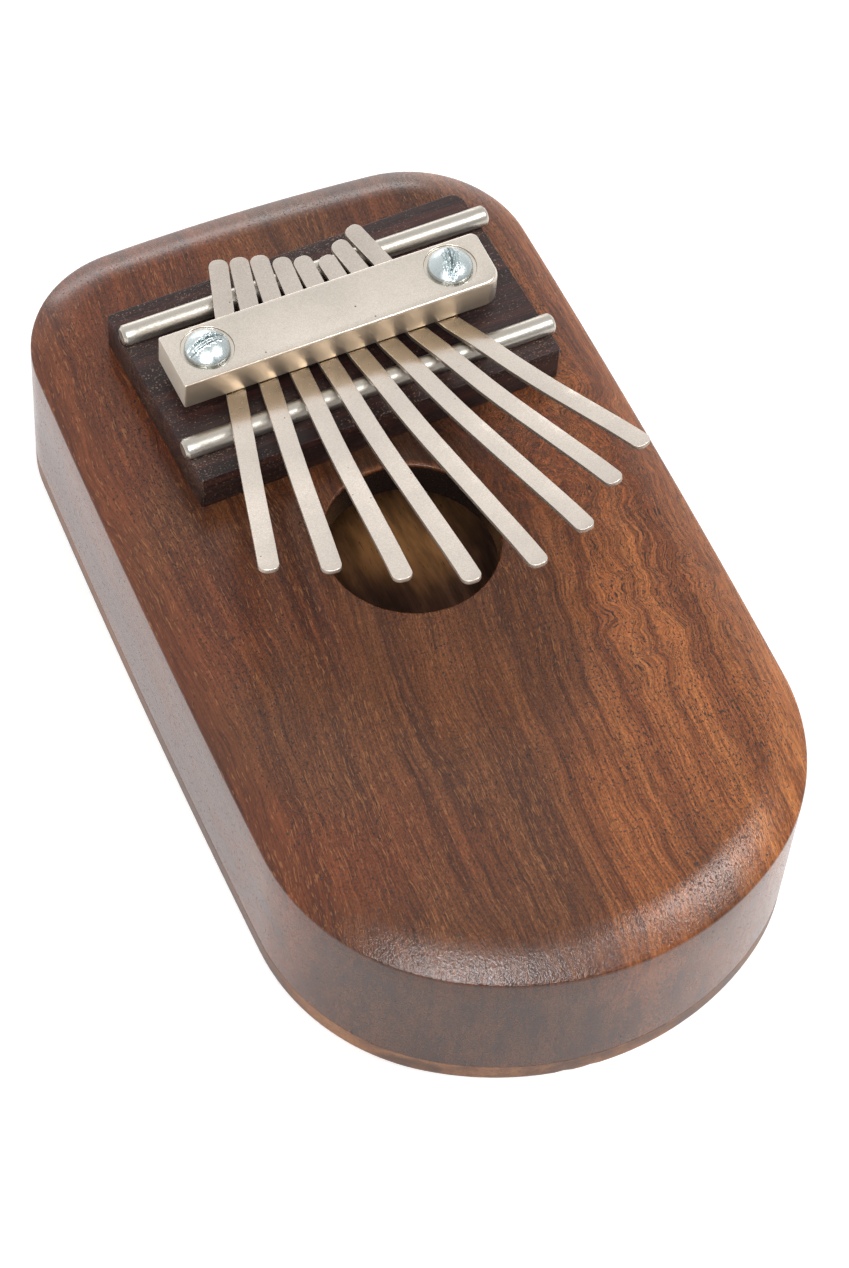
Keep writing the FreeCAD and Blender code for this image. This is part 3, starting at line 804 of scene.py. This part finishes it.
def make_rod(name, q, material):
    """Round rod with turned, slightly dished ends."""
    half = ROD_LENGTH / 2.0
    rings = [lying_ring(r * ROD_R / 2.0, ROD_OFFSET - half + back, q) for r, back in ROD_END]
    for share in np.linspace(0.05, 0.95, 9):
        rings.append(lying_ring(ROD_R, ROD_OFFSET - half + ROD_LENGTH * share, q))
    rings += [lying_ring(r * ROD_R / 2.0, ROD_OFFSET + half - back, q) for r, back in ROD_END[::-1]]
    points, faces = loft(rings, cap_first=True, cap_last=True)
    return make_piece(name, to_world(points), faces, material)


def make_clamp_bar(material):
    """Bar with crisp left end, worn right corners, and a spotface round each screw."""
    flat = rounded_rectangle(*BAR_SIZE, BAR_CORNERS, steps=12) + BAR_OFFSET
    from_right = flat[:, 0] - BAR_OFFSET[0] - BAR_SIZE[0] / 2.0
    right = np.clip((from_right + BAR_WORN_REACH) / BAR_WORN_REACH, 0, 1)
    near = np.clip((BAR_OFFSET[1] - flat[:, 1]) / BAR_SIZE[1] + 0.5, 0, 1)
    ease = 0.28 + 0.25 * right + 0.9 * right ** 2 * near ** 2
    # Inward from the nearest side, and slantwise only within 4 mm of the ends.
    inward = np.array(BAR_OFFSET) - flat
    inward[:, 0] = np.sign(inward[:, 0]) * np.clip(np.abs(inward[:, 0]) - BAR_SIZE[0] / 2.0 + 4.0, 0, 4.0)
    inward = inward / np.linalg.norm(inward, axis=1)[:, None]
    rings = [at_height(flat + inward * 0.2, BAR_BOTTOM_Z), at_height(flat, BAR_BOTTOM_Z + 0.2)]
    for down, back in quarter_round(7):
        ring = at_height(flat + inward * (ease * back)[:, None], BAR_TOP_Z)
        ring[:, 2] -= ease * down
        rings.append(ring)
    points, faces = loft(rings, cap_first=True, cap_last=True)
    bar = make_piece("clamp_bar", to_world(points), faces, material)
    tools = []
    for centre in SCREW_CENTRES.values():
        tools.append(round_tool(centre, BORE_R, BAR_BOTTOM_Z - 1.0, BAR_TOP_Z + 1.0))
        tools.append(round_tool(centre, SPOTFACE_R, BAR_TOP_Z - SPOTFACE_DEPTH, BAR_TOP_Z + 1.0, sides=96))
    return carve(bar, tools, BAR_BEVEL)


# ---------------------------------------------------------------- clamp screws

# Cuts across a head that make up its chewed driver slot:
# (place across, half width, share of the slot's depth, start and stop along it, wobble, seed).
SLOT_CUTS = {
    "left": ((0.0, 0.80, 0.42, -4.2, 4.2, 0.05, 21), (-0.55, 0.14, 1.0, -4.2, 3.0, 0.06, 23),
             (0.02, 0.11, 0.75, -3.4, 4.2, 0.06, 25), (0.60, 0.15, 1.0, -2.4, 4.2, 0.06, 27),
             (1.25, 0.10, 0.30, -0.6, 3.2, 0.12, 29)),
    "right": ((-1.35, 0.12, 0.28, -2.0, 2.6, 0.16, 31), (-0.62, 0.20, 0.55, -3.2, 3.2, 0.20, 33),
              (0.02, 0.17, 0.80, -3.8, 3.9, 0.18, 35), (0.66, 0.16, 0.50, -3.4, 2.6, 0.22, 37),
              (1.30, 0.12, 0.30, -2.2, 1.6, 0.15, 39)),
}


def groove(t, w, centre, half, wobble, seed):
    """Share of depth across a ragged groove, and of the burr raised along its lips."""
    width = half * (1.0 + 0.25 * wander(t * 3.0, seed + 1))
    gap = np.abs(w - centre - wobble * wander(t * 2.1, seed)) - width
    return 1.0 / (1.0 + np.exp(gap / 0.05)), np.exp(-((gap - 0.13) / 0.11) ** 2)


def slot_cut(t, w, side):
    """Share of slot depth at (along, across) a driver slot, and of the burrs' height beside it."""
    depth, burr = np.zeros_like(t), np.zeros_like(t)
    for centre, half, share, start, stop, wobble, seed in SLOT_CUTS[side]:
        cut, lip = groove(t, w, centre, half, wobble, seed)
        along = 1.0 / (1.0 + np.exp((start - t) / 0.2)) / (1.0 + np.exp((t - stop) / 0.2))
        depth = np.maximum(depth, share * along * cut)
        burr = np.maximum(burr, along * lip)
    return depth, burr


def head_surface(x, y, side):
    """Height of a screw head's top above its seat, with the slot and the marks a driver left."""
    r = np.hypot(x, y)
    z = HEAD_RIM + np.sqrt(np.maximum(DOME_R ** 2 - r ** 2, 0)) - (DOME_R - DOME_HEIGHT)
    turn = math.radians(SLOT_TURNS[side])
    t = x * math.cos(turn) + y * math.sin(turn)
    w = -x * math.sin(turn) + y * math.cos(turn)
    depth, burr = slot_cut(t, w, side)
    inside = np.clip((HEAD_R - r) / 0.35, 0, 1)
    z = z + BURR_HEIGHT * burr * inside * (1.0 - depth)
    return z - depth * SLOT_DEPTH * inside


def make_screw(side, material):
    """Round-head wood screw with a chewed slot, a plain shank and a cut thread low down."""
    turns = np.linspace(0, 2 * math.pi, 224, endpoint=False)
    seat_z = SCREW_CROWN_Z - HEAD_HEIGHT
    centre = SCREW_CENTRES[side]
    rings = []

    def ring(radius, z):
        x, y = radius * np.cos(turns), radius * np.sin(turns)
        height = z(x, y) if callable(z) else z
        rings.append(np.column_stack([centre[0] + x, centre[1] + y, np.broadcast_to(height, turns.shape)]))

    def dome(x, y):
        return seat_z + head_surface(x, y, side)

    ring(0.02, dome)
    for radius in np.linspace(0.06, HEAD_R - 0.12, 84):
        ring(radius, dome)
    ring(HEAD_R - 0.03, lambda x, y: seat_z + np.minimum(head_surface(x, y, side), HEAD_RIM))
    ring(HEAD_R, seat_z + HEAD_RIM - 0.12)
    ring(HEAD_R, seat_z + 0.1)
    ring(HEAD_R - 0.1, seat_z)
    ring(SHANK_R, seat_z)
    thread_top = BED_TOP_Z - 3.0
    thread_low = SCREW_TIP_Z + 4.0
    ring(SHANK_R, thread_top + 0.2)
    for z in np.linspace(thread_top, thread_low, 56):
        phase = (z / THREAD_PITCH - turns / (2 * math.pi)) % 1.0
        depth = THREAD_DEPTH * np.clip(np.abs(phase - 0.5) * 4.0 - 0.6, 0, 1)
        ring(SHANK_R - THREAD_DEPTH + depth, z)
    ring(SHANK_R - 0.9, (thread_low + SCREW_TIP_Z) / 2.0)
    ring(0.05, SCREW_TIP_Z)
    points, faces = loft(rings[::-1], cap_first=True, cap_last=True)
    return make_piece("clamp_screw_" + side, to_world(points), faces, material, SCREW_SHARP)


# ---------------------------------------------------------------- tines

def known_length(bends):
    return sum(length for length, _ in bends if length is not None)


def follow(bends, heading, total):
    """Side view of a bent strip: lengths, run, rise and slope at each station.

    bends: (length, turn in degrees) of each stretch. The length None is what is left of the total.
    """
    length_along, run, rise, angle = 0.0, 0.0, 0.0, math.radians(heading)
    stations = [(length_along, run, rise, angle)]
    for length, turn in bends:
        length = total - known_length(bends) if length is None else length
        count = max(1, int(round(length / STRIP_STEP)))
        ds, da = length / count, math.radians(turn) / count
        for _ in range(count):
            run += ds * math.cos(angle + da / 2.0)
            rise += ds * math.sin(angle + da / 2.0)
            angle += da
            length_along += ds
            stations.append((length_along, run, rise, angle))
    return np.array(stations)


def follow_to(bends, heading, wanted_run):
    """Side view of the bent strip whose level run is the wanted one."""
    low, high = max(10.0, known_length(bends) + 0.5), 90.0
    for _ in range(40):
        middle = (low + high) / 2.0
        if follow(bends, heading, middle)[-1, 1] < wanted_run:
            low = middle
        else:
            high = middle
    return follow(bends, heading, (low + high) / 2.0)


def tail_bends(rods_apart):
    front, rear = math.radians(FRONT_DIP), math.radians(REAR_DIP)
    front_run = (SAG - SAG_BEND * math.sin(front / 2.0)) / math.sin(front)
    rear_run = (SAG - SAG_BEND * math.sin(rear / 2.0)) / math.sin(rear)
    flat = rods_apart - front_run - rear_run - 2.0 * SAG_BEND
    return ((front_run, 0.0), (SAG_BEND, FRONT_DIP), (flat, 0.0), (SAG_BEND, REAR_DIP), (None, 0.0))


def node_reach(node, origin, direction):
    points = np.array([v.co for v in frame["nodes"][node].data.vertices]) / MM
    return ((points[:, :2] - origin[:2]) @ direction[:2]).max()


def strip_side(low_s, high_s):
    """One long edge of the flat strip with both rounded tips: (length along, distance across)."""
    half, corner = TINE_WIDTH / 2.0, TINE_TIP_R
    arc = np.radians(np.linspace(0, 90, 10))
    near_tip = [(low_s + corner - corner * math.cos(a), half - corner + corner * math.sin(a)) for a in arc]
    far_tip = [(high_s - corner + corner * math.sin(a), half - corner + corner * math.cos(a)) for a in arc]
    along = np.arange(low_s + corner + SIDE_STEP, high_s - corner - SIDE_STEP / 2.0, SIDE_STEP)
    return np.array(near_tip + [(s, half) for s in along] + far_tip)


def strip_profile():
    """(inset, height from mid-thickness) round the strip's long edge, from its underside up."""
    lower = [(TINE_EDGE * inward, -TINE_THICKNESS / 2.0 + TINE_EDGE * up) for inward, up in quarter_round(4)]
    return lower + [(inset, -height) for inset, height in lower[::-1]]


def make_tine(number, hinge, across, away, material):
    """One nickelled spring strip: clamped tail and free tongue in one piece."""
    lean = math.atan2(across[1], across[0]) - BRIDGE_YAW
    bends = tail_bends((REAR_ROD_Q - FRONT_ROD_Q) / math.cos(lean))
    tail = follow_to(bends, -FRONT_DIP, node_reach("tine_%d_tail" % number, hinge, away))
    tongue = follow_to(TONGUE_BENDS, FRONT_DIP, node_reach("tine_%d_tongue" % number, hinge, -away))
    line = np.concatenate([tongue[:0:-1] * (-1, -1, 1, -1), tail])

    def bent(flat, height):
        """Carry (length along, width across) at a height above mid-thickness onto the bent strip."""
        run, rise, slope = (np.interp(flat[:, 0], line[:, 0], line[:, column]) for column in (1, 2, 3))
        run = run - height * np.sin(slope)
        rise = rise + height * np.cos(slope)
        place = hinge + np.outer(run, away) + np.outer(flat[:, 1], across)
        place[:, 2] += rise
        return place

    side_line = strip_side(line[0, 0], line[-1, 0])
    tangent = np.gradient(side_line, axis=0)
    normal = np.column_stack([-tangent[:, 1], tangent[:, 0]])
    normal = normal / np.linalg.norm(normal, axis=1)[:, None]
    worn = np.clip(1.0 + 0.5 * wander(side_line[:, 0] * 0.7, 40 + number), 0.5, 1.6)
    rings = []
    for inset, height in strip_profile():
        shifted = side_line - normal * (inset * worn)[:, None]
        mirrored = (shifted * (1, -1))[::-1]
        rings.append(bent(np.concatenate([shifted, mirrored]), height))
    points, faces = loft(rings)
    count = len(side_line)
    ring_size = 2 * count
    for base, under in ((0, True), ((len(rings) - 1) * ring_size, False)):
        for i in range(count - 1):
            quad = (base + i, base + i + 1, base + ring_size - 2 - i, base + ring_size - 1 - i)
            faces.append(quad[::-1] if under else quad)
    return make_piece("tine_%d" % number, points, faces, material, TINE_SHARP)


# ---------------------------------------------------------------- build

SOUNDBOX_WOOD = soundbox_wood()
BACK_WOOD = back_wood()
BED_WOOD = bed_wood()
# The bar's near left corner in the nickels' turned coordinates, and the front rod's line there.
BAR_CORNER = to_world([[BAR_OFFSET[0] - BAR_SIZE[0] / 2.0, BAR_OFFSET[1] - BAR_SIZE[1] / 2.0, 0.0]])[0]
BAR_LEFT = BAR_CORNER[0] * math.cos(BRIDGE_YAW) + BAR_CORNER[1] * math.sin(BRIDGE_YAW)
BAR_FRONT = BAR_CORNER[1] * math.cos(BRIDGE_YAW) - BAR_CORNER[0] * math.sin(BRIDGE_YAW)
ROD_LINE = BAR_FRONT - BAR_OFFSET[1] + BAR_SIZE[1] / 2.0 + FRONT_ROD_Q
# The bar's browner front face is tarnish with a painted reflection of the wood; its upright faces carry
# painted shade.
BAR_NICKEL = nickel("bar_nickel", (224, 214, 202), 0.22, 0.07, 0.22, -BRIDGE_YAW,
                    sawn=(("X", BAR_LEFT, 0.25, 0.30), ("Y", BAR_FRONT, 0.10, 0.15)),
                    tarnish_and_shade=(BAR_FRONT - 9.0, BAR_FRONT + 0.3, (204, 189, 171)), side_shade_and_wear=0.3)
ROD_NICKEL = nickel("rod_nickel", (187, 181, 171), 0.34, 0.05, 0.3, -BRIDGE_YAW)
# The strips are browner from the front rod to under the bar, tarnish with painted shade beside the bar;
# their upright faces carry painted shade.
TINE_NICKEL = nickel("tine_nickel", (216, 205, 194), 0.22, 0.08, 0.28, -BRIDGE_YAW,
                     tarnish_and_shade=(ROD_LINE, BAR_FRONT + 3.0, (187, 175, 158)), side_shade_and_wear=0.6)
SCREW_ZINC = nickel("screw_zinc", (198, 207, 208), 0.29, 0.06, 0.4,
                    domes=[(*place, SCREW_CROWN_Z - DOME_R) for place in SCREW_PLACES.values()])


def settle(piece, body, slot, *nodes):
    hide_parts(*nodes)
    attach(piece, body)


settle(make_soundbox(SOUNDBOX_WOOD), "soundbox", "soundbox_wood", "body")
settle(make_back_board(BACK_WOOD), "soundbox", "back_wood", "back_panel")
settle(make_bridge_bed(BED_WOOD), "soundbox", "bed_wood", "bridge_bed")
settle(make_rod("rod_front", FRONT_ROD_Q, ROD_NICKEL), "soundbox", "rod_nickel", "front_rod")
settle(make_rod("rod_rear", REAR_ROD_Q, ROD_NICKEL), "soundbox", "rod_nickel", "rear_rod")
settle(make_clamp_bar(BAR_NICKEL), "clamp_bar", "bar_nickel", "pressure_bar")
settle(make_screw("left", SCREW_ZINC), "left_screw", "screw_zinc", "screw_left")
settle(make_screw("right", SCREW_ZINC), "right_screw", "screw_zinc", "screw_right")

for number in range(1, TINE_COUNT + 1):
    hinge = joint_place("tine_%d_pluck" % number)
    across = np.array(joint("tine_%d_pluck" % number)["axis"], float)
    away = np.array([-across[1], across[0], 0.0])
    tine = make_tine(number, hinge, across, away, TINE_NICKEL)
    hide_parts("tine_%d_tongue" % number, "tine_%d_tail" % number)
    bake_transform(tine)

bpy.data.materials.remove(TOOL_MATERIAL)


# ---------------------------------------------------------------- floor, light, camera

# Metres and degrees from here on.
FLOOR_REACH = 6.0
NEAR_SKY = 0.36
FAR_SKY = 1.20
SUBJECT = Vector((0.0, -0.03, 0.03))

# Fitted to the photo's outline, sound hole and bridge.
CAMERA_PLACE = Vector((-0.178874, -0.335315, 0.574655))
CAMERA_AZIMUTH = -28.286
CAMERA_ELEVATION = 56.023
CAMERA_ROLL = 5.415
CAMERA_LENS = 105.42


def make_floor():
    mesh = bpy.data.meshes.new("floor")
    corners = [(FLOOR_REACH * x, FLOOR_REACH * y, 0) for x, y in ((-1, -1), (1, -1), (1, 1), (-1, 1))]
    mesh.from_pydata(corners, [], [(0, 1, 2, 3)])
    mesh.materials.append(floor_paint())
    floor = bpy.data.objects.new("floor", mesh)
    bpy.context.scene.collection.objects.link(floor)


def soft_box(name, azimuth, elevation, distance, size, radiance, only_shine=False, colour=(1, 1, 1)):
    """A rectangular light seen from the subject at an azimuth (degrees from +X toward +Y) and elevation."""
    turn, lift = math.radians(azimuth), math.radians(elevation)
    toward = Vector((math.cos(turn) * math.cos(lift), math.sin(turn) * math.cos(lift), math.sin(lift)))
    data = bpy.data.lights.new(name, "AREA")
    data.shape = "RECTANGLE"
    data.size, data.size_y = size
    data.color = colour
    data.energy = radiance * math.pi * size[0] * size[1]
    lamp = bpy.data.objects.new(name, data)
    lamp.visible_diffuse = not only_shine
    bpy.context.scene.collection.objects.link(lamp)
    lamp.location = SUBJECT + toward * distance
    lamp.rotation_mode = "QUATERNION"
    lamp.rotation_quaternion = toward.to_track_quat("Z", "Y")


def make_world():
    """White room, dimmer on the near side than beyond the subject."""
    world = bpy.data.worlds.new("studio")
    bpy.context.scene.world = world
    world.use_nodes = True
    tree = world.node_tree
    background = tree.nodes["Background"]
    direction = tree.nodes.new("ShaderNodeTexCoord")
    parts = tree.nodes.new("ShaderNodeSeparateXYZ")
    depth = tree.nodes.new("ShaderNodeMapRange")
    tree.links.new(direction.outputs["Generated"], parts.inputs[0])
    tree.links.new(parts.outputs["Y"], depth.inputs["Value"])
    for name, value in (("From Min", -1.0), ("From Max", 1.0), ("To Min", NEAR_SKY), ("To Max", FAR_SKY)):
        depth.inputs[name].default_value = value
    background.inputs["Color"].default_value = (1.0, 1.0, 1.0, 1)
    tree.links.new(depth.outputs["Result"], background.inputs["Strength"])


def make_camera():
    azimuth, elevation, roll = (math.radians(a) for a in (CAMERA_AZIMUTH, CAMERA_ELEVATION, CAMERA_ROLL))
    back = Vector((math.sin(azimuth) * math.cos(elevation), -math.cos(azimuth) * math.cos(elevation),
                   math.sin(elevation)))
    right = Vector((0, 0, 1)).cross(back).normalized()
    up = back.cross(right)
    rolled_right = right * math.cos(roll) + up * math.sin(roll)
    rolled_up = up * math.cos(roll) - right * math.sin(roll)
    data = bpy.data.cameras.new("camera")
    data.sensor_width = 36.0
    data.sensor_fit = "AUTO"
    data.lens = CAMERA_LENS
    data.clip_start = 0.01
    camera = bpy.data.objects.new("camera", data)
    bpy.context.scene.collection.objects.link(camera)
    camera.location = CAMERA_PLACE
    camera.rotation_mode = "QUATERNION"
    camera.rotation_quaternion = Matrix((rolled_right, rolled_up, back)).transposed().to_quaternion()
    bpy.context.scene.camera = camera


make_floor()
make_world()
make_camera()
soft_box("front_box", -124, 60, 1.3, (0.62, 0.50), 6.0)
soft_box("front_core", -122, 47, 1.3, (0.50, 0.20), 50.0, only_shine=True, colour=(0.92, 0.95, 1.0))
soft_box("right_box", -26, 53, 1.3, (0.50, 0.40), 9.0)
soft_box("right_core", -32, 52, 1.3, (0.40, 0.34), 10.0, only_shine=True)
soft_box("far_strip", 82, 8, 1.5, (1.0, 0.25), 3.2)
bpy.context.scene.view_settings.view_transform = "Standard"
